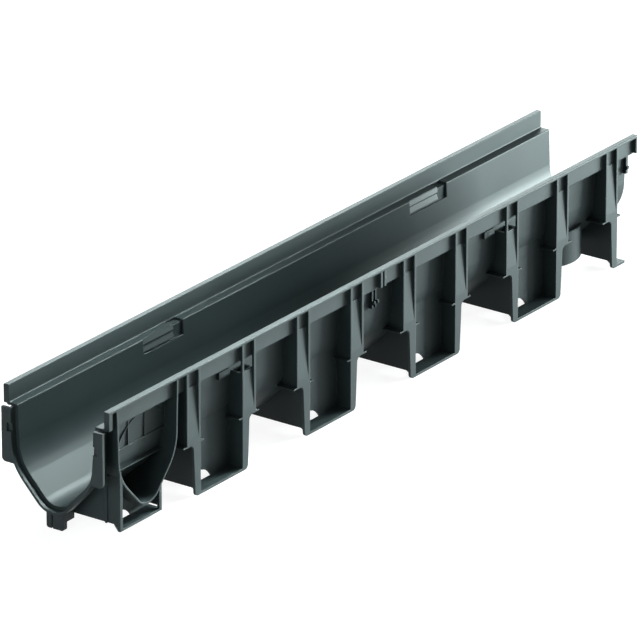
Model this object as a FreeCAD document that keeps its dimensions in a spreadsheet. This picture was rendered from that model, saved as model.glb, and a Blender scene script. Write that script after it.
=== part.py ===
"""Plastic channel drain, one moulding: trough, rim, ribs, feet, side inlets and end joints.

The rail runs along X, stands on its feet at Z = 0, and is symmetric about the XZ plane.
One half (Y from 0 to the rim) is modelled with the drawing's X starting at the rim end of
the socket; the other half is its mirror image. All lengths are in millimetres.
"""
import FreeCAD, Part
import os
import re
import Sketcher

Vector = FreeCAD.Vector

# name, value or formula, meaning
SIZES = [
    ("rail_length", "1000", "rim from end to end"),
    ("rim_height", "149.2", "top of the rim above the ground"),
    ("rim_half", "70", "half the width over the lips"),
    ("lip_height", "3", "lip along the top of the rim"),
    ("lip_reach", "4.2", "lip beyond the face of the rim"),
    ("rim_wall", "2.6", "wall of the rim"),
    ("seat_height", "129", "ledge that carries the grating"),
    ("seat_wall", "3", "thickness of that ledge"),
    ("seat_round", "1.8", "rounded lower edge of the rim"),
    ("edge_round", "1", "rounded edges of the ledge and the lip"),
    ("rim_stop", "5.5", "solid end of the rim at the socket"),
    ("rim_plate", "3", "plate across the rim at the spigot end"),
    ("trough_half", "50", "half the clear width where the walls become upright"),
    ("trough_wall", "3", "wall of the trough"),
    ("floor_height", "24.5", "invert of the trough"),
    ("floor_radius", "22", "round of the invert"),
    ("flank_angle", "47", "slope of the flanks"),
    ("side_radius", "52", "round from flank to wall"),
    ("wall_draft", "1.95", "draft of the upright walls"),
    ("rib_first", "136.8", "first pilaster"),
    ("rib_pitch", "100", "from pilaster to pilaster"),
    ("rib_count", "9", "pilasters on a side"),
    ("rib_width", "24", "pilaster over both of its plates"),
    ("rib_wall", "3", "plates and webs"),
    ("web_height", "70", "where a leaning web becomes flush with the plates"),
    ("shelf_height", "61", "underside of the shelf below a pilaster"),
    ("shelf_wall", "1.6", "thickness of the shelf"),
    ("shelf_reach", "6", "shelf beyond the plates"),
    ("foot_count", "4", "feet that join two pilasters"),
    ("leg_wall", "3", "front wall of a leg"),
    ("leg_top", "12.3", "width of a leg at the shelf"),
    ("leg_foot", "9.5", "width of a leg at the ground"),
    ("leg_round", "5", "rounded outer corner of a leg"),
    ("leg_fillet", "6", "fillet from a leg to the shelf above it"),
    ("pad_wall", "2.8", "strip under a foot"),
    ("pad_depth", "19", "depth of that strip"),
    ("arch_height", "6", "underside of the cross plates"),
    ("hole_radius", "29", "low arch at the bottom of a foot's back wall"),
    ("hole_end", "30", "end of that arch before the foot's right plate"),
    ("pad_corner", "12", "cut corner of the strip under a foot"),
    ("last_pad", "16.5", "strip of the last foot beyond its plate"),
    ("inlet_centre", "67.5", "side inlet from the socket end"),
    ("inlet_wall", "2.2", "wall of the side inlet"),
    ("block_left", "17.5", "outer edge of the foot below the inlet"),
    ("block_right", "91", "far edge of that foot"),
    ("block_leg", "4.4", "width of its legs"),
    ("block_height", "6.4", "its strip above the ground"),
    ("block_wall", "2.5", "thickness of that strip"),
    ("block_depth", "17.5", "depth of that strip"),
    ("block_arch", "13", "underside of its cross plates"),
    ("socket_reach", "8.5", "socket beyond the rim"),
    ("socket_gap", "0.7", "play round the spigot"),
    ("socket_wall", "2.8", "wall of the socket"),
    ("lug_top", "127", "top of the lugs beside the socket"),
    ("lug_bottom", "64", "underside of the lugs"),
    ("lug_half", "67", "outer face of the lugs"),
    ("notch_top", "109.7", "catch in a lug, upper face"),
    ("notch_bottom", "100", "catch in a lug, lower face"),
    ("notch_half", "60", "depth of the catch"),
    ("lug_plate", "3.5", "thickness of a lug"),
    ("catch_wall", "1", "wall behind the catch in a lug"),
    ("stem_half", "57.6", "stems of the barbs, from the middle plane"),
    ("barb_gap", "0.4", "play of a barb in the catch"),
    ("barb_nose", "3", "upright nose of a barb"),
    ("barb_length", "4", "barb at the spigot end, along the rail"),
    ("half_barb", "2.4", "each of two barbs near mid-length, along the rail"),
    ("half_start", "5.8", "first of them before mid-length"),
    ("half_pitch", "6.1", "from one to the other"),
    ("half_reach", "61", "tip of these barbs, from the middle plane"),
    ("half_plate", "3.7", "each of two plates on the rim near mid-length"),
    ("half_plate_start", "6.4", "first of them before mid-length"),
    ("half_plate_pitch", "6.8", "from one to the other"),
    ("web_step", "127.8", "foot of the upright part of a web"),
    ("web_lean", "3.2", "lean of the web below it"),
    ("lock_length", "55", "bars of a grating lock"),
    ("lock_bottom", "111.5", "bottom of the recess around the bars"),
    ("lock_bar_bottom", "114.2", "underside of the lower bar"),
    ("lock_bar", "6.3", "height of a bar"),
    ("lock_bar_gap", "2.2", "gap between the bars"),
    ("lock_bar_wall", "1.5", "thickness of a bar at its top"),
    ("lock_lean", "2.2", "lean of the bars' faces"),
    ("lock_slot", "17", "slot in the ledge beside the bars"),
    ("lock_slot_bottom", "126.8", "floor of that slot"),
    ("lock_depth", "2.3", "depth of the recess in the wall"),
    ("lock_pitch", "5", "pilasters from one lock to the next"),
    ("lock_tab", "19", "tab beside the pilaster, along the rail"),
    ("lock_tab_height", "8", "height of that tab"),
    ("lock_tab_half", "57.5", "face of that tab, from the middle plane"),
    ("lock_tunnel", "12.5", "height of the tunnel through the pilaster"),
    ("lock_web", "2.5", "front edge of the plates left beside the tunnel"),
    ("outlet_radius", "52", "skirt of the bottom outlet"),
    ("outlet_bottom", "22", "lower edge of that skirt"),
    ("back_half", "43", "foot below the back side inlet, from the middle plane"),
    ("back_wall", "54", "back face of the trough above that foot, from the middle plane"),
    ("back_level", "55", "top of what is left out of that foot"),
    ("keel_half", "11.5", "half the width of the keel block"),
    ("keel_rib_half", "8", "half the width of the keel behind it"),
    ("keel_start", "4.5", "keel block beyond the rim"),
    ("keel_wall", "6", "thickness of the keel block"),
    ("keel_height", "7", "underside of the keel behind its block"),
    ("keel_round", "3", "rounded corners of the keel block"),
    ("keel_slot", "1.8", "slot in the keel block"),
    ("keel_slot_start", "3", "near side of that slot"),
    ("score_proud", "0.6", "marks for cutting the inlet open, above the wall"),
    ("score_wall", "1.1", "width of those marks"),
    ("score_radius", "55", "round mark"),
    ("score_centre", "81.3", "centre of the round mark along the rail"),
    ("score_level", "66.4", "centre of the round mark above the ground"),
    ("score_end", "112", "end of the round mark"),
    ("score_upper", "90", "upper level mark"),
    ("score_lower", "66", "lower level mark"),
    ("score_left", "52.5", "left upright mark"),
    ("score_right", "81.5", "right upright mark"),
]

# name, formula from the sizes above, meaning
WORKED_OUT = [
    ("lip_under", "rim_height - lip_height", "underside of the lip"),
    ("rim_face", "rim_half - lip_reach", "outer face of the rim"),
    ("rim_inside", "rim_face - rim_wall", "inner face of the rim"),
    ("seat_under", "seat_height - seat_wall", "underside of the ledge"),
    ("socket_in", "trough_wall + socket_gap", "clear section of the socket, as such an offset"),
    ("socket_out", "socket_in + socket_wall", "outer skin of the socket, as such an offset"),
    ("side_axis", "trough_half - side_radius", "centre of the side round, across"),
    ("flank_run", "side_axis + (side_radius - floor_radius) * sin(flank_angle * 1deg)", "flank, across"),
    ("side_level", "floor_height + floor_radius + flank_run * tan(flank_angle * 1deg)"
     " + (side_radius - floor_radius) * cos(flank_angle * 1deg)", "centre of the side round, up"),
    ("rib_second", "rib_first + rib_pitch", "second pilaster"),
    ("foot_pitch", "2 * rib_pitch", "from foot to foot"),
    ("foot_left", "rib_first + rib_width", "clear opening of the first foot, left"),
    ("foot_right", "rib_second", "the same, right"),
    ("last_leg", "foot_left + foot_count * foot_pitch", "right side of the last leg"),
    ("outlet_centre", "last_leg - foot_pitch / 2 + (rib_pitch - rib_width) / 2", "bottom outlet"),
    ("lock_first", "rib_second + (rib_width - lock_length) / 2", "start of the first lock's bars"),
    ("lock_end", "lock_first + lock_length", "end of those bars"),
]

document = FreeCAD.newDocument("channel_drain")
sheet = document.addObject("Spreadsheet::Sheet", "Sizes")


def tied(formula):
    """The formula with every name of a size turned into its cell in the sheet."""
    return re.sub(r"[a-z]+(?:_[a-z]+)+", lambda word: "Sizes." + word.group(0), formula)


def fill_sheet():
    """Write the driving sizes as plain numbers and the others as formulas."""
    for row, (name, content, meaning) in enumerate(SIZES + WORKED_OUT, start=1):
        sheet.set(f"A{row}", name)
        sheet.set(f"B{row}", content if row <= len(SIZES) else "=" + content)
        sheet.set(f"C{row}", meaning)
        sheet.setAlias(f"B{row}", name)
    document.recompute()


def value(formula):
    """What the formula comes to with the sizes of the sheet."""
    return float(sheet.evalExpression(tied(formula)))


def plane(body, role):
    """An origin plane or axis of the body."""
    return next(item for item in body.Origin.OriginFeatures if item.Role == role)


def new_sketch(body, name, role, height):
    """A sketch on a plane parallel to an origin plane, moved along its normal by height."""
    sketch = body.newObject("Sketcher::SketchObject", name)
    sketch.AttachmentSupport = [(plane(body, role), "")]
    sketch.MapMode = "FlatFace"
    sketch.AttachmentOffset = FreeCAD.Placement(Vector(0, 0, value(height)), FreeCAD.Rotation())
    sketch.setExpression("AttachmentOffset.Base.z", tied(height))
    return sketch


def arc_geometry(start, end, radius):
    """The short arc that turns left from start to end."""
    chord = end - start
    middle = start + chord * 0.5
    rise = max(radius ** 2 - (chord.Length / 2) ** 2, 0) ** 0.5
    left = Vector(-chord.y, chord.x, 0).normalize()
    centre = middle + left * rise
    crown = centre - left * radius
    return Part.Arc(start, crown, end)


def draw(sketch, corners):
    """A closed outline. A corner is (across, up), or (across, up, round) where the edge that
    leaves it is an arc of that radius: it turns left, or right where the radius starts with "-".
    """
    points = [Vector(value(corner[0]), value(corner[1]), 0) for corner in corners]
    first_edge = len(sketch.Geometry)
    ends = []
    for index, corner in enumerate(corners):
        start, end = points[index], points[(index + 1) % len(points)]
        if len(corner) == 2:
            sketch.addGeometry(Part.LineSegment(start, end), False)
            ends.append((1, 2))
            continue
        turns_right = corner[2].startswith("-")
        radius = corner[2].lstrip("-")
        chord = (end, start) if turns_right else (start, end)
        edge = sketch.addGeometry(arc_geometry(*chord, value(radius)), False)
        size = sketch.addConstraint(Sketcher.Constraint("Radius", edge, value(radius)))
        sketch.setExpression(f"Constraints[{size}]", tied(radius))
        ends.append((2, 1) if turns_right else (1, 2))
    for index, corner in enumerate(corners):
        edge, after = first_edge + index, first_edge + (index + 1) % len(corners)
        meet = (edge, ends[index][1], after, ends[(index + 1) % len(corners)][0])
        sketch.addConstraint(Sketcher.Constraint("Coincident", *meet))
        for kind, formula in (("DistanceX", corner[0]), ("DistanceY", corner[1])):
            place = (-1, 1, edge, ends[index][0], value(formula))
            size = sketch.addConstraint(Sketcher.Constraint(kind, *place))
            sketch.setExpression(f"Constraints[{size}]", tied(formula))


def rectangle(left, right, bottom, top):
    """The corners of a rectangle."""
    return [(left, bottom), (right, bottom), (right, top), (left, top)]


def solid(body, kind, name, sketch, length, towards_normal):
    """A pad or a pocket of the sketch, on the side that its normal points to or away from it."""
    feature = body.newObject("PartDesign::" + kind, name)
    feature.Profile = sketch
    feature.Length = value(length)
    feature.setExpression("Length", tied(length))
    feature.Reversed = towards_normal if kind == "Pocket" else not towards_normal
    body.Tip = feature
    return feature


def along(body, kind, name, start, length, *outlines):
    """Sections across the rail, from start for a length along the rail."""
    sketch = new_sketch(body, name + "_sketch", "YZ_Plane", start)
    for corners in outlines:
        draw(sketch, corners)
    return solid(body, kind, name, sketch, length, True)


def inward(body, kind, name, start, length, *outlines):
    """Outlines seen from the side, from Y = start for a length towards the middle."""
    sketch = new_sketch(body, name + "_sketch", "XZ_Plane", f"-({start})")
    for corners in outlines:
        draw(sketch, corners)
    return solid(body, kind, name, sketch, length, True)


def upward(body, kind, name, start, length, corners):
    """A plan, from Z = start for a height."""
    sketch = new_sketch(body, name + "_sketch", "XY_Plane", start)
    draw(sketch, corners)
    return solid(body, kind, name, sketch, length, True)


def repeated(body, name, features, pitch, count):
    """The features again and again along the rail."""
    pattern = body.newObject("PartDesign::LinearPattern", name)
    pattern.Originals = features
    pattern.Direction = (plane(body, "X_Axis"), [""])
    pattern.setExpression("Length", tied(f"({pitch}) * ({count} - 1)"))
    pattern.setExpression("Occurrences", tied(count))
    body.Tip = pattern
    return pattern


def trough_side(offset, middle="0", sign=""):
    """Corners of the trough's section from the invert to the top of the side round, moved out
    by an offset. It is used upright across the rail and for the side inlets."""
    low, high = f"(floor_radius + {offset})", f"(side_radius + {offset})"
    across = [
        "0",
        f"{low} * sin(flank_angle * 1deg)",
        f"side_axis + {high} * sin(flank_angle * 1deg)",
        f"side_axis + {high} * cos(wall_draft * 1deg)",
    ]
    up = [
        f"floor_height - {offset}",
        f"floor_height + floor_radius - {low} * cos(flank_angle * 1deg)",
        f"side_level - {high} * cos(flank_angle * 1deg)",
        f"side_level - {high} * sin(wall_draft * 1deg)",
    ]
    return across, up, low, high


def half_width(offset, level):
    """Half the width of the trough's section at a level on its upright wall."""
    across, up, _, _ = trough_side(offset)
    return f"{across[3]} + ({level} - ({up[3]})) * tan(wall_draft * 1deg)"


def half_section(offset, top):
    """The section of the trough from the middle plane outwards, closed at a level."""
    across, up, low, high = trough_side(offset)
    corners = [(across[0], up[0], low), (across[1], up[1])]
    corners += [(across[2], up[2], high), (across[3], up[3])]
    corners += [(half_width(offset, top), top), ("0", top)]
    return corners


def inlet_outline(offset, top):
    """The same section whole, centred on the side inlet."""
    across, up, low, high = trough_side(offset)
    right = [f"inlet_centre + {place}" for place in across]
    left = [f"inlet_centre - ({place})" for place in across]
    reach = half_width(offset, top)
    corners = [(right[0], up[0], low), (right[1], up[1]), (right[2], up[2], high), (right[3], up[3])]
    corners += [(f"inlet_centre + {reach}", top), (f"inlet_centre - ({reach})", top)]
    corners += [(left[3], up[3], high), (left[2], up[2]), (left[1], up[1], low)]
    return corners


def back_wall(left, right, bottom):
    """Wall along the rail behind the opening of a foot, with a low arch beside its left plate."""
    return [
        (left, f"{bottom} + arch_height", "-hole_radius"), (f"{right} - hole_end", bottom),
        (right, bottom), (right, "side_level"), (left, "side_level"),
    ]


def strip_plan(left, right, depth):
    """Strip on the ground under a foot, with a cut corner behind its left leg."""
    return [
        (left, "rim_half - leg_wall"), (f"{left} + pad_corner", f"rim_half - {depth}"),
        (right, f"rim_half - {depth}"), (right, "rim_half"), (left, "rim_half"),
    ]


def add_side_inlet(body):
    """Tube of the side inlet on its foot, open to the outside and closed by the trough's wall."""
    inward(body, "Pad", "inlet_tube", "rim_half", "rim_half", inlet_outline("inlet_wall", "lip_under"))
    near_leg = rectangle("block_left", "block_left + block_leg", "block_height", "side_level")
    far_leg = rectangle("block_right - block_leg", "block_right", "block_height", "side_level")
    inward(body, "Pad", "block_legs", "rim_half", "leg_wall", near_leg, far_leg)
    near, far = "block_left + block_leg - rib_wall", "block_right - block_leg"
    near_plate = rectangle(near, f"{near} + rib_wall", "block_arch", "side_level")
    far_plate = rectangle(far, f"{far} + rib_wall", "block_arch", "side_level")
    inward(body, "Pad", "block_plates", "rim_half", "rim_half", near_plate, far_plate)
    wall = back_wall("block_left", "block_right", "block_height")
    inward(body, "Pad", "block_back_wall", "rim_half - block_depth", "rib_wall", wall)
    strip = strip_plan("block_left", "block_right", "block_depth")
    upward(body, "Pad", "block_strip", "block_height", "block_wall", strip)
    inward(body, "Pocket", "inlet_bore", "rim_half", "rim_half", inlet_outline("0", "lip_under"))


def add_inlet_marks(body):
    """Raised lines on the trough's wall that show where to cut the side inlet open."""
    face = half_width("trough_wall + score_proud", "seat_under")
    outer, inner = "score_radius", "(score_radius - score_wall)"
    far = "(score_end - score_centre)"
    ring = [
        ("score_end", f"score_level + sqrt({outer} ^ 2 - {far} ^ 2)", outer),
        ("score_centre", f"score_level + {outer}", outer), (f"score_centre - {outer}", "score_level"),
        (f"score_centre - {inner}", "score_level", f"-{inner}"),
        ("score_centre", f"score_level + {inner}", f"-{inner}"),
        ("score_end", f"score_level + sqrt({inner} ^ 2 - {far} ^ 2)"),
    ]
    inward(body, "Pad", "mark_ring", face, face, ring)
    left, right = "inlet_centre - trough_half", "inlet_centre + trough_half"
    above = "score_upper + score_wall"
    comb = [
        (left, "score_upper"), (right, "score_upper"), (right, above),
        ("score_right + score_wall", above), ("score_right + score_wall", "lip_under"),
        ("score_right", "lip_under"), ("score_right", above),
        ("score_left + score_wall", above), ("score_left + score_wall", "lip_under"),
        ("score_left", "lip_under"), ("score_left", above), (left, above),
    ]
    lower = rectangle(left, right, "score_lower", "score_lower + score_wall")
    inward(body, "Pad", "mark_lines", face, face, comb, lower)


def add_pilasters(body):
    """Two plates with a leaning web between them and a shelf below, open from below."""
    block = rectangle("0", "rim_half", "shelf_height", "lip_under")
    pilaster = along(body, "Pad", "pilaster", "rib_first", "rib_width", block)
    plan = rectangle("rib_first - shelf_reach", "rib_first + rib_width + shelf_reach", "0", "rim_half")
    shelf = upward(body, "Pad", "pilaster_shelf", "shelf_height", "shelf_wall", plan)
    inner = [
        ("0", "shelf_height"), ("rim_half - rib_wall", "shelf_height"),
        ("rim_half - rib_wall", "web_height"), ("rim_face - rib_wall", "lip_under"), ("0", "lip_under"),
    ]
    start, width = "rib_first + rib_wall", "rib_width - 2 * rib_wall"
    core = along(body, "Pocket", "pilaster_core", start, width, inner)
    front = [
        ("rim_face", "lip_under"), ("rim_face", "web_step"), ("rim_half - web_lean", "web_step"),
        ("rim_half", "web_height"), ("rim_half + lip_reach", "lip_under"),
    ]
    face = along(body, "Pocket", "pilaster_face", start, width, front)
    repeated(body, "pilasters", [pilaster, shelf, core, face], "rib_pitch", "rib_count")


def leg_outline(inner, outwards):
    """One leg seen from the side; it narrows away from the foot's opening towards the ground."""
    top, foot = f"{inner} {outwards} leg_top", f"{inner} {outwards} leg_foot"
    rounded = f"{foot} {'+' if outwards == '-' else '-'} leg_round"
    round_end = f"{foot} {outwards} (leg_top - leg_foot) * leg_round / shelf_height"
    arc = "leg_round * 1.05"
    fillet_end, below_shelf = f"{top} {outwards} leg_fillet", "shelf_height - leg_fillet"
    if outwards == "-":
        return [
            (fillet_end, "shelf_height", "-leg_fillet"), (top, below_shelf),
            (round_end, "leg_round", arc), (rounded, "0"), (inner, "0"), (inner, "shelf_height"),
        ]
    return [
        (inner, "shelf_height"), (inner, "0"), (rounded, "0", arc), (round_end, "leg_round"),
        (top, below_shelf, "-leg_fillet"), (fillet_end, "shelf_height"),
    ]


def cross_plate(stand):
    """A plate across the rail: it stands on this depth at either side and arches between."""
    inner = f"rim_half - {stand}"
    return [
        ("0", "arch_height"), (f"{inner} - arch_height", "arch_height", "-arch_height"),
        (inner, "0"), ("rim_half", "0"), ("rim_half", "shelf_height"), ("0", "shelf_height"),
    ]


def add_feet(body):
    """Feet between two pilasters each, and half a foot at the spigot end."""
    left = inward(body, "Pad", "leg_left", "rim_half", "leg_wall", leg_outline("foot_left", "-"))
    start = "foot_left - rib_wall"
    plate = along(body, "Pad", "plate_left", start, "rib_wall", cross_plate("leg_wall"))
    repeated(body, "left_legs", [left, plate], "foot_pitch", "foot_count + 1")
    right = inward(body, "Pad", "leg_right", "rim_half", "leg_wall", leg_outline("foot_right", "+"))
    plate = along(body, "Pad", "plate_right", "foot_right", "rib_wall", cross_plate("pad_depth"))
    plan = strip_plan("foot_left - rib_wall", "foot_right + rib_wall", "pad_depth")
    strip = upward(body, "Pad", "foot_strip", "0", "pad_wall", plan)
    wall = inward(body, "Pad", "foot_back_wall", "rim_half - pad_depth", "rib_wall",
                  back_wall("foot_left", "foot_right", "0"))
    repeated(body, "feet", [right, plate, strip, wall], "foot_pitch", "foot_count")
    plan = strip_plan("last_leg - rib_wall", "last_leg + last_pad", "pad_depth")
    upward(body, "Pad", "last_strip", "0", "pad_wall", plan)


def add_bottom_outlet(body):
    """Skirt below the trough between the last two feet, closed by the trough's own floor."""
    for kind, name, radius in (("Pad", "outlet_skirt", "outlet_radius"),
                               ("Pocket", "outlet_bore", "outlet_radius - rib_wall")):
        plan = [
            (f"outlet_centre + {radius}", "0", f"({radius})"), ("outlet_centre", radius, f"({radius})"),
            (f"outlet_centre - ({radius})", "0"),
        ]
        upward(body, kind, name, "outlet_bottom", "shelf_height - outlet_bottom", plan)


def barb_outline(reach):
    """A barb across the rail: flat above, leaning below so that it snaps into its catch."""
    return [
        ("0", "notch_bottom + barb_gap"), ("trough_half + trough_wall", "notch_bottom + barb_gap"),
        (reach, "notch_top - barb_gap - barb_nose"), (reach, "notch_top - barb_gap"),
        ("0", "notch_top - barb_gap"),
    ]


def add_barbs(body):
    """Barbs on their stems below the rim, at the spigot end and for a rail cut at mid-length."""
    end, reach = "rail_length - barb_length", "stem_half"
    along(body, "Pad", "end_barb", end, "barb_length", barb_outline("notch_half - barb_gap"))
    stems = [rectangle(end, "rail_length", "notch_bottom", "seat_under")]
    for name, start in (("first", "rail_length / 2 - half_start"),
                        ("second", "rail_length / 2 - half_start + half_pitch")):
        along(body, "Pad", f"{name}_half_barb", start, "half_barb", barb_outline("half_reach"))
        stems.append(rectangle(start, f"{start} + half_barb", "notch_bottom", "seat_under"))
    inward(body, "Pad", "stems", reach, reach, *stems)


def at_locks(left, right, bottom, top):
    """The corners of a rectangle at each of the two grating locks."""
    again = "lock_pitch * rib_pitch"
    return (rectangle(left, right, bottom, top),
            rectangle(f"{left} + {again}", f"{right} + {again}", bottom, top))


def add_lock_housings(body):
    """Outside of the grating locks: a tunnel through the pilaster and a tab beside it."""
    tunnel = at_locks("rib_second - rib_wall", "rib_second + rib_width + rib_wall",
                      "seat_under - lock_tunnel", "seat_under + seat_round")
    depth = "rim_half - lock_web - trough_half"
    inward(body, "Pocket", "lock_tunnel_cut", "rim_half - lock_web", depth, *tunnel)
    window = at_locks("rib_second + rib_wall", "rib_second + rib_width - rib_wall",
                      "seat_under - lock_tunnel", "seat_under + seat_round")
    inward(body, "Pocket", "lock_window_cut", "rim_half", "lock_web + rib_wall", *window)
    tab = at_locks("lock_first - lock_tab / 2", "lock_first + lock_tab / 2",
                   "lock_bottom", "lock_bottom + lock_tab_height")
    inward(body, "Pad", "lock_end_tab", "lock_tab_half", "lock_tab_half", *tab)


def add_locks(body):
    """Inside of the grating locks: recess, slot in the ledge beside it and two leaning bars."""
    deep = half_width("lock_depth", "lock_bottom")
    recess = at_locks("lock_first", "lock_end + lock_slot", "lock_bottom", "seat_height")
    inward(body, "Pocket", "lock_recess", deep, deep, *recess)
    slot = at_locks("lock_end", "lock_end + lock_slot", "lock_slot_bottom", "seat_height")
    inward(body, "Pocket", "lock_slot_cut", "rim_inside", "rim_inside", *slot)
    bars = []
    for level in ("lock_bar_bottom", "lock_bar_bottom + lock_bar + lock_bar_gap"):
        face = half_width("0", level)
        back = f"{face} + lock_lean + lock_bar_wall"
        bars.append([
            (face, level), (back, level), (back, f"{level} + lock_bar"),
            (f"{face} + lock_lean", f"{level} + lock_bar"),
        ])
    first = along(body, "Pad", "lock_bars", "lock_first", "lock_length", *bars)
    repeated(body, "locks", [first], "lock_pitch * rib_pitch", "2")


def add_keel(body):
    """Keel under the socket, with a thicker block at its end."""
    top = "floor_height - socket_in"
    length = "keel_start + block_left + block_leg - rib_wall"
    rib = rectangle("0", "keel_rib_half", "keel_height", top)
    along(body, "Pad", "keel_rib", "-keel_start", length, rib)
    block = [
        ("0", "0"), ("keel_half - keel_round", "0", "keel_round"), ("keel_half", "keel_round"),
        ("keel_half", top), ("0", top),
    ]
    along(body, "Pad", "keel_block", "-keel_start", "keel_wall", block)


def add_socket(body):
    """Collar that takes the next rail's spigot, with a lug on either side."""
    collar = half_section("socket_out", "lug_top")
    along(body, "Pad", "socket_skin", "-socket_reach", "socket_reach + socket_wall", collar)
    lug = [
        ("trough_half", "lug_bottom"), ("lug_half - leg_round", "lug_bottom", "leg_round"),
        ("lug_half", "lug_bottom + leg_round"), ("lug_half", "lug_top"), ("trough_half", "lug_top"),
    ]
    along(body, "Pad", "lug", "-socket_reach", "lug_plate", lug)
    notch = rectangle("0", "notch_half", "notch_bottom", "notch_top")
    along(body, "Pocket", "catch", "-socket_reach", "lug_plate - catch_wall", notch)
    bore = half_section("socket_in", "lug_top")
    along(body, "Pocket", "socket_bore", "-socket_reach", "socket_reach", bore)


def clear_section():
    """What is open inside the rail: the trough, the ledge for the grating and the rim above."""
    across, up, low, high = trough_side("0")
    below_edge = "seat_height - edge_round"
    wall = half_width("0", below_edge)
    return [
        (across[0], up[0], low), (across[1], up[1]), (across[2], up[2], high), (across[3], up[3]),
        (wall, below_edge, "-edge_round"), (f"{wall} + edge_round", "seat_height"),
        ("rim_inside - edge_round", "seat_height", "edge_round"),
        ("rim_inside", "seat_height + edge_round"), ("rim_inside", "rim_height"), ("0", "rim_height"),
    ]


def add_shell(body):
    """Outer skin with the rim, then all that is open inside it."""
    bottom, first = "seat_under + seat_round", "rail_length / 2 - half_plate_start"
    second = f"{first} + half_plate_pitch"
    stops = (
        rectangle("0", "rim_stop", bottom, "lip_under"),
        rectangle(first, f"{first} + half_plate", bottom, "lip_under"),
        rectangle(second, f"{second} + half_plate", bottom, "lip_under"),
        rectangle("rail_length - rim_plate", "rail_length", bottom, "lip_under"),
    )
    inward(body, "Pad", "rim_stops", "rim_half", "lip_reach + rim_wall", *stops)
    across, up, low, high = trough_side("trough_wall")
    skin = [
        (across[0], up[0], low), (across[1], up[1]), (across[2], up[2], high), (across[3], up[3]),
        (half_width("trough_wall", "seat_under"), "seat_under"),
        ("rim_face - seat_round", "seat_under", "seat_round"), ("rim_face", "seat_under + seat_round"),
        ("rim_face", "lip_under"), ("rim_half", "lip_under"),
        ("rim_half", "rim_height - edge_round", "edge_round"), ("rim_half - edge_round", "rim_height"),
        ("0", "rim_height"),
    ]
    along(body, "Pad", "outer_skin", "0", "rail_length", skin)
    length = "rail_length + socket_reach"
    along(body, "Pocket", "clear_bore", "-socket_reach", length, clear_section())


def cut_one_side(body):
    """What only one side has: a slot in the keel block, and a narrower foot at the back."""
    slot = rectangle("keel_slot_start", "keel_slot_start + keel_slot", "0", "floor_height - socket_in")
    along(body, "Pocket", "keel_slot_cut", "-keel_start", "keel_wall", slot)
    across, up, low, high = trough_side("inlet_wall")
    right = [f"inlet_centre + {place}" for place in across]
    left = [f"inlet_centre - ({place})" for place in across]
    below_tube = [
        (left[3], "0"), (right[3], "0"), (right[3], up[3], f"-{high}"), (right[2], up[2]),
        (right[1], up[1], f"-{low}"), (right[0], up[0], f"-{low}"), (left[1], up[1]),
        (left[2], up[2], f"-{high}"), (left[3], up[3]),
    ]
    inward(body, "Pocket", "back_leg_cut", "rim_half", "rim_half - back_wall", below_tube)
    plates = rectangle("block_left", "block_right", "0", "back_level")
    inward(body, "Pocket", "back_plate_cut", "back_wall", "back_wall - back_half", plates)


def check(objects):
    """Stop where an object of the document has failed."""
    for item in document.Objects:
        if {"Invalid", "Error"} & set(item.State):
            raise RuntimeError(f"{item.Name} is {item.State}")
    for item in objects:
        if item.Shape.isNull() or not item.Shape.isValid():
            raise RuntimeError(f"{item.Name} has no valid shape")


def channel_body():
    """The whole moulding."""
    body = document.addObject("PartDesign::Body", "channel_body")
    body.Label = "channel_body"
    add_socket(body)
    add_keel(body)
    add_side_inlet(body)
    add_inlet_marks(body)
    add_bottom_outlet(body)
    add_pilasters(body)
    add_feet(body)
    add_barbs(body)
    add_lock_housings(body)
    add_shell(body)
    add_locks(body)
    document.recompute()
    other_half = body.newObject("PartDesign::Mirrored", "other_half")
    other_half.TransformMode = "Whole shape"
    other_half.MirrorPlane = (plane(body, "XZ_Plane"), [""])
    body.Tip = other_half
    document.recompute()
    cut_one_side(body)
    body.setExpression("Placement.Base.x", tied("(socket_reach - rail_length) / 2"))
    return body


fill_sheet()
pieces = [channel_body()]
document.recompute()
check(pieces)
os.makedirs("parts", exist_ok=True)
for piece in pieces:
    print(piece.Label, len(piece.Shape.Solids), round(piece.Shape.Volume), piece.Shape.BoundBox)
    piece.Shape.exportStep(os.path.join("parts", piece.Label + ".step"))
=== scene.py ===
import math

import bpy
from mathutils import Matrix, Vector


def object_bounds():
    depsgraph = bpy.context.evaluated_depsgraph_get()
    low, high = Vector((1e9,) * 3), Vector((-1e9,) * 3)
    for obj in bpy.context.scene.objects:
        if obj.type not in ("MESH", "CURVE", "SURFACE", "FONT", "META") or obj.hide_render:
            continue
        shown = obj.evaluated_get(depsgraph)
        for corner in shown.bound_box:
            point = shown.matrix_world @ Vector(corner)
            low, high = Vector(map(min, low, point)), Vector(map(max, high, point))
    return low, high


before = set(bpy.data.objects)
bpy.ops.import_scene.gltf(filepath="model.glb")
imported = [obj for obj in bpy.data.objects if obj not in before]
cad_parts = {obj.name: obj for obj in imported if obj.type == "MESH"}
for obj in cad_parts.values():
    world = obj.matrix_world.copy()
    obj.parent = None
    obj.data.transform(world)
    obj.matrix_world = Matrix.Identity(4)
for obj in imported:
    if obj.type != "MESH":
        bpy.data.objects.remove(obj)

bl_info = {
    "name": "Channel drain",
    "version": (1, 0, 0),
    "blender": (4, 5, 0),
    "location": "3D View > Sidebar > Drain",
    "description": "Finish of a moulded plastic channel drain, with a plain stage for it",
    "category": "Object",
}

CHANNEL = "channel_body"
CAD_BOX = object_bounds()

# The camera is set out from this point: half-way along the rims, near half of their height.
AIM = Vector((0.00425, 0, 0.075))

FLOOR_SIZE = 30
FLOOR_GAP = 0.0005
FLOOR_GREY = (0.3, 0.3, 0.3, 1)
WHITE = (1, 1, 1, 1)
SENSOR_WIDTH = 36
VIEW_DEPTH = 100

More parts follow.
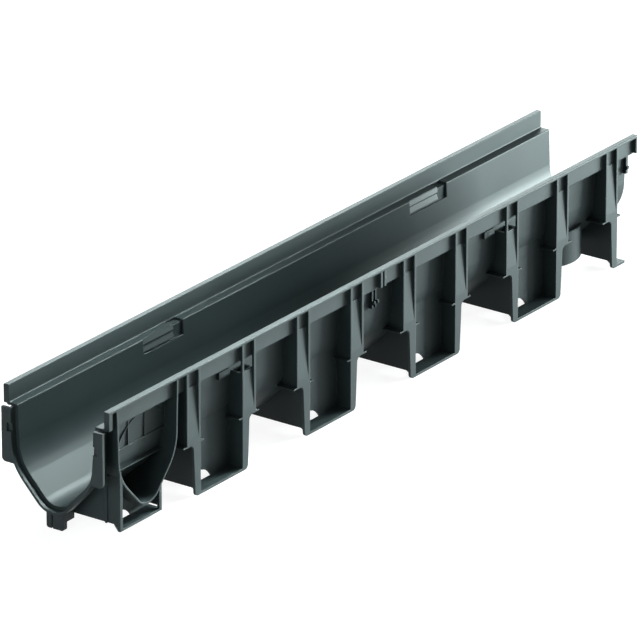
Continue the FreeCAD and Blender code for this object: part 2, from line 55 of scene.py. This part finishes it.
EDGE_SAMPLES = 4
GRAIN_DETAIL = 3
CLOUD_DETAIL = 4
GRAIN_STRENGTH = 0.12
SATIN_SPREAD = 0.05

# Each lamp's place, the point that it is aimed at, its two sides, and the angle in degrees that it fills.
LAMPS = {
    "side": ((2.6, -1.0, 0.17), (0.2, 0, 0.08), (1.0, 0.25), 180),
    "high": ((1.9, -1.4, 0.85), (0, 0, 0.1), (1.0, 0.25), 180),
    "top": ((0.93, -0.42, 1.2), (-0.5, 0, 0.03), (0.4, 0.4), 24),
    "back": ((1.8, 1.3, 1.0), (0, 0, 0.14), (1.6, 0.5), 180),
    "end": ((-2.6, -0.3, 0.6), (0, 0, 0.1), (0.8, 0.8), 180),
}


class DrainSizes(bpy.types.PropertyGroup):
    """Finish of the channel's plastic"""

    colour: bpy.props.FloatVectorProperty(
        name="Plastic", description="Colour of the black plastic",
        subtype="COLOR", size=3, min=0, max=1, default=(0.012, 0.018, 0.019),
    )
    cloud_colour: bpy.props.FloatVectorProperty(
        name="Clouds", description="Paler colour in faint clouds over the plastic",
        subtype="COLOR", size=3, min=0, max=1, default=(0.019, 0.027, 0.028),
    )
    shine: bpy.props.FloatProperty(
        name="Shine", description="Strength of the skin's reflections", min=0, max=1, default=0.2,
    )
    roughness: bpy.props.FloatProperty(
        name="Roughness", description="Roughness of the satin skin", min=0, max=1, default=0.52,
    )
    grain_size: bpy.props.FloatProperty(
        name="Grain", description="Size of the mould's fine grain",
        subtype="DISTANCE", unit="LENGTH", min=0.0001, default=0.0016,
    )
    grain_depth: bpy.props.FloatProperty(
        name="Grain depth", description="Height of the grain above the smooth skin",
        subtype="DISTANCE", unit="LENGTH", min=0, default=0.0002,
    )
    cloud_scale: bpy.props.FloatProperty(
        name="Cloud scale", description="Faint clouds in each metre", min=1, default=14,
    )
    edge_radius: bpy.props.FloatProperty(
        name="Edge radius", description="Radius of the moulding's sharp edges",
        subtype="DISTANCE", unit="LENGTH", min=0, default=0.0009,
    )


class StageSizes(bpy.types.PropertyGroup):
    """Floor, lamps and camera"""

    backdrop: bpy.props.FloatProperty(
        name="Backdrop", description="Brightness of the background", min=0, max=1, default=1,
    )
    fill: bpy.props.FloatProperty(
        name="Fill", description="Strength of the even light from all sides", min=0, default=0.15,
    )
    floor_lift: bpy.props.FloatProperty(
        name="Floor", description="Brightness added to the floor where it is looked at",
        min=0, max=1, default=0.9,
    )
    lamp_colour: bpy.props.FloatVectorProperty(
        name="Lamps", description="Cool white of all the lamps",
        subtype="COLOR", size=3, min=0, max=1, default=(0.85, 1.0, 1.0),
    )
    side_power: bpy.props.FloatProperty(
        name="Side lamp", description="Power of the low soft lamp beyond the far end",
        subtype="POWER", min=0, default=310,
    )
    high_power: bpy.props.FloatProperty(
        name="High lamp", description="Power of the lamp above it, for the faces inside",
        subtype="POWER", min=0, default=36,
    )
    top_power: bpy.props.FloatProperty(
        name="Top lamp", description="Power of the narrow lamp over the trough's near end",
        subtype="POWER", min=0, default=2.6,
    )
    back_power: bpy.props.FloatProperty(
        name="Back lamp", description="Power of the soft lamp behind",
        subtype="POWER", min=0, default=60,
    )
    end_power: bpy.props.FloatProperty(
        name="End lamp", description="Power of the weak lamp before the near end",
        subtype="POWER", min=0, default=20,
    )
    azimuth: bpy.props.FloatProperty(
        name="Azimuth", description="Direction that the camera looks in, from +Y towards +X",
        subtype="ANGLE", unit="ROTATION", default=math.radians(54.31),
    )
    elevation: bpy.props.FloatProperty(
        name="Elevation", description="Height of the camera above the horizon",
        subtype="ANGLE", unit="ROTATION", default=math.radians(22.35),
    )
    distance: bpy.props.FloatProperty(
        name="Distance", description="Camera from the middle of the rims",
        subtype="DISTANCE", unit="LENGTH", min=1, default=9.0614,
    )
    lens: bpy.props.FloatProperty(
        name="Lens", description="Focal length of the camera", subtype="DISTANCE_CAMERA",
        min=1, default=462.2,
    )
    framing: bpy.props.FloatVectorProperty(
        name="Framing", description="Camera moved right and up, with the same direction",
        subtype="TRANSLATION", unit="LENGTH", size=2, default=(-0.01358, -0.00339),
    )


def new_group(name, outputs, inputs):
    """Empty shader node group with these sockets, and its input and output nodes."""
    group = bpy.data.node_groups.new(name, "ShaderNodeTree")
    for socket_name, kind, default in inputs:
        socket = group.interface.new_socket(socket_name, in_out="INPUT", socket_type=kind)
        socket.default_value = default
    for socket_name, kind in outputs:
        group.interface.new_socket(socket_name, in_out="OUTPUT", socket_type=kind)
    return group, group.nodes.new("NodeGroupInput"), group.nodes.new("NodeGroupOutput")


def mould_grain():
    """Group: faint clouds and fine grain of a moulded skin."""
    group, inside, outside = new_group(
        "Mould grain",
        [("Clouds", "NodeSocketFloat"), ("Height", "NodeSocketFloat")],
        [("Grain Scale", "NodeSocketFloat", 600.0), ("Cloud Scale", "NodeSocketFloat", 10.0)],
    )
    nodes, link = group.nodes, group.links.new
    place = nodes.new("ShaderNodeTexCoord")
    grain = nodes.new("ShaderNodeTexNoise")
    grain.inputs["Detail"].default_value = GRAIN_DETAIL
    clouds = nodes.new("ShaderNodeTexNoise")
    clouds.inputs["Detail"].default_value = CLOUD_DETAIL
    link(place.outputs["Object"], grain.inputs["Vector"])
    link(inside.outputs["Grain Scale"], grain.inputs["Scale"])
    link(place.outputs["Object"], clouds.inputs["Vector"])
    link(inside.outputs["Cloud Scale"], clouds.inputs["Scale"])
    link(clouds.outputs["Fac"], outside.inputs["Clouds"])
    link(grain.outputs["Fac"], outside.inputs["Height"])
    return group


def drain_plastic(sizes):
    """Black satin plastic with a fine grain, faint clouds and slightly rounded edges."""
    material = bpy.data.materials.new("drain_plastic")
    material.use_nodes = True
    nodes, link = material.node_tree.nodes, material.node_tree.links.new
    shader = nodes["Principled BSDF"]
    shader.inputs["Specular IOR Level"].default_value = sizes.shine
    grain = nodes.new("ShaderNodeGroup")
    grain.node_tree = mould_grain()
    grain.inputs["Grain Scale"].default_value = 1 / sizes.grain_size
    grain.inputs["Cloud Scale"].default_value = sizes.cloud_scale

    bend = nodes.new("ShaderNodeBevel")
    bend.samples = EDGE_SAMPLES
    bend.inputs["Radius"].default_value = sizes.edge_radius
    bump = nodes.new("ShaderNodeBump")
    bump.inputs["Strength"].default_value = GRAIN_STRENGTH
    bump.inputs["Distance"].default_value = sizes.grain_depth
    link(bend.outputs["Normal"], bump.inputs["Normal"])
    link(grain.outputs["Height"], bump.inputs["Height"])
    link(bump.outputs["Normal"], shader.inputs["Normal"])

    colour = nodes.new("ShaderNodeMix")
    colour.data_type = "RGBA"
    colour.inputs["A"].default_value = (*sizes.colour, 1)
    colour.inputs["B"].default_value = (*sizes.cloud_colour, 1)
    link(grain.outputs["Clouds"], colour.inputs["Factor"])
    link(colour.outputs["Result"], shader.inputs["Base Color"])

    satin = nodes.new("ShaderNodeMapRange")
    satin.inputs["To Min"].default_value = sizes.roughness - SATIN_SPREAD
    satin.inputs["To Max"].default_value = sizes.roughness + SATIN_SPREAD
    link(grain.outputs["Clouds"], satin.inputs["Value"])
    link(satin.outputs["Result"], shader.inputs["Roughness"])
    return material


class FinishChannel(bpy.types.Operator):
    """Gives the moulded channel its black satin plastic"""

    bl_idname = "drain.finish_channel"
    bl_label = "Finish channel"

    def execute(self, context):
        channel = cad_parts[CHANNEL]
        plastic = drain_plastic(context.scene.drain_sizes)
        for slot in channel.material_slots:
            slot.material = plastic
        return {"FINISHED"}


def seen_plainly(tree):
    """1 where the camera, a reflection or glass looks at the stage, and 0 for all other light."""
    seen = tree.nodes.new("ShaderNodeLightPath")
    total = seen.outputs["Is Camera Ray"]
    for ray in ("Is Glossy Ray", "Is Transmission Ray"):
        added = tree.nodes.new("ShaderNodeMath")
        added.operation = "MAXIMUM"
        tree.links.new(total, added.inputs[0])
        tree.links.new(seen.outputs[ray], added.inputs[1])
        total = added.outputs["Value"]
    return total


def floor_white(lift):
    """Matt grey floor; lift brings it up to plain white where it is looked at."""
    material = bpy.data.materials.new("floor_white")
    material.use_nodes = True
    nodes, link = material.node_tree.nodes, material.node_tree.links.new
    shader = nodes["Principled BSDF"]
    shader.inputs["Base Color"].default_value = FLOOR_GREY
    shader.inputs["Roughness"].default_value = 1
    shader.inputs["Emission Color"].default_value = WHITE
    strength = nodes.new("ShaderNodeMath")
    strength.operation = "MULTIPLY"
    strength.inputs[1].default_value = lift
    link(seen_plainly(material.node_tree), strength.inputs[0])
    link(strength.outputs["Value"], shader.inputs["Emission Strength"])
    return material


def soft_lamp(name, place, aim, size, spread, power, colour):
    """A rectangular area lamp at place, aimed at a point; spread is the angle that it fills."""
    data = bpy.data.lights.new(name, "AREA")
    data.shape = "RECTANGLE"
    data.size, data.size_y = size
    data.spread = math.radians(spread)
    data.energy = power
    data.color = colour
    lamp = bpy.data.objects.new(name, data)
    lamp.location = place
    lamp.rotation_euler = (Vector(aim) - Vector(place)).to_track_quat("-Z", "Y").to_euler()
    bpy.context.scene.collection.objects.link(lamp)


def plain_world(dim, brightness):
    """White background, with a dimmer light on the object."""
    world = bpy.data.worlds.new("Backdrop")
    bpy.context.scene.world = world
    world.use_nodes = True
    nodes, link = world.node_tree.nodes, world.node_tree.links.new
    strength = nodes.new("ShaderNodeMapRange")
    strength.inputs["To Min"].default_value = dim
    strength.inputs["To Max"].default_value = brightness
    link(seen_plainly(world.node_tree), strength.inputs["Value"])
    link(strength.outputs["Result"], nodes["Background"].inputs["Strength"])
    nodes["Background"].inputs["Color"].default_value = WHITE


def add_camera(sizes):
    """Adds the camera, turned to its azimuth and elevation and set back by its distance."""
    data = bpy.data.cameras.new("Camera")
    data.lens = sizes.lens
    data.sensor_width = SENSOR_WIDTH
    data.clip_end = VIEW_DEPTH
    camera = bpy.data.objects.new("Camera", data)
    bpy.context.scene.collection.objects.link(camera)
    camera.rotation_euler = (math.pi / 2 - sizes.elevation, 0, -sizes.azimuth)
    turned = camera.rotation_euler.to_matrix()
    right, up = sizes.framing
    camera.location = AIM + turned @ Vector((right, up, sizes.distance))
    bpy.context.scene.camera = camera


class BuildStage(bpy.types.Operator):
    """Adds the floor, the lamps and the camera"""

    bl_idname = "drain.build_stage"
    bl_label = "Build stage"

    def execute(self, context):
        sizes = context.scene.stage_sizes
        lowest = CAD_BOX[0][2]
        bpy.ops.mesh.primitive_plane_add(size=FLOOR_SIZE, location=(0, 0, lowest - FLOOR_GAP))
        floor = context.object
        floor.name = "floor"
        floor.data.materials.append(floor_white(sizes.floor_lift))
        plain_world(sizes.fill, sizes.backdrop)

        for name, (place, aim, size, spread) in LAMPS.items():
            power = getattr(sizes, f"{name}_power")
            soft_lamp(f"{name}_lamp", place, aim, size, spread, power, sizes.lamp_colour)

        add_camera(sizes)
        context.scene.view_settings.view_transform = "Standard"
        return {"FINISHED"}


class DrainPanel(bpy.types.Panel):
    """Sizes and colours of the channel drain and its stage, with buttons to finish the channel and build
    the stage
    """

    bl_idname = "VIEW3D_PT_drain"
    bl_label = "Channel drain"
    bl_space_type = "VIEW_3D"
    bl_region_type = "UI"
    bl_category = "Drain"

    def draw(self, context):
        for group in (context.scene.drain_sizes, context.scene.stage_sizes):
            for name in group.bl_rna.properties.keys():
                if name not in {"rna_type", "name"}:
                    self.layout.prop(group, name)
        for operator in (FinishChannel, BuildStage):
            self.layout.operator(operator.bl_idname)


CLASSES = (DrainSizes, StageSizes, FinishChannel, BuildStage, DrainPanel)


def register():
    """Adds the classes and the sizes that they use to Blender."""
    for new_class in CLASSES:
        bpy.utils.register_class(new_class)
    bpy.types.Scene.drain_sizes = bpy.props.PointerProperty(type=DrainSizes)
    bpy.types.Scene.stage_sizes = bpy.props.PointerProperty(type=StageSizes)


def unregister():
    """Takes them out again."""
    del bpy.types.Scene.stage_sizes
    del bpy.types.Scene.drain_sizes
    for old_class in reversed(CLASSES):
        bpy.utils.unregister_class(old_class)


def main():
    """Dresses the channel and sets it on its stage."""
    register()
    bpy.ops.object.select_all(action="DESELECT")
    bpy.ops.drain.finish_channel()
    bpy.ops.drain.build_stage()


if __name__ == "__main__":
    main()
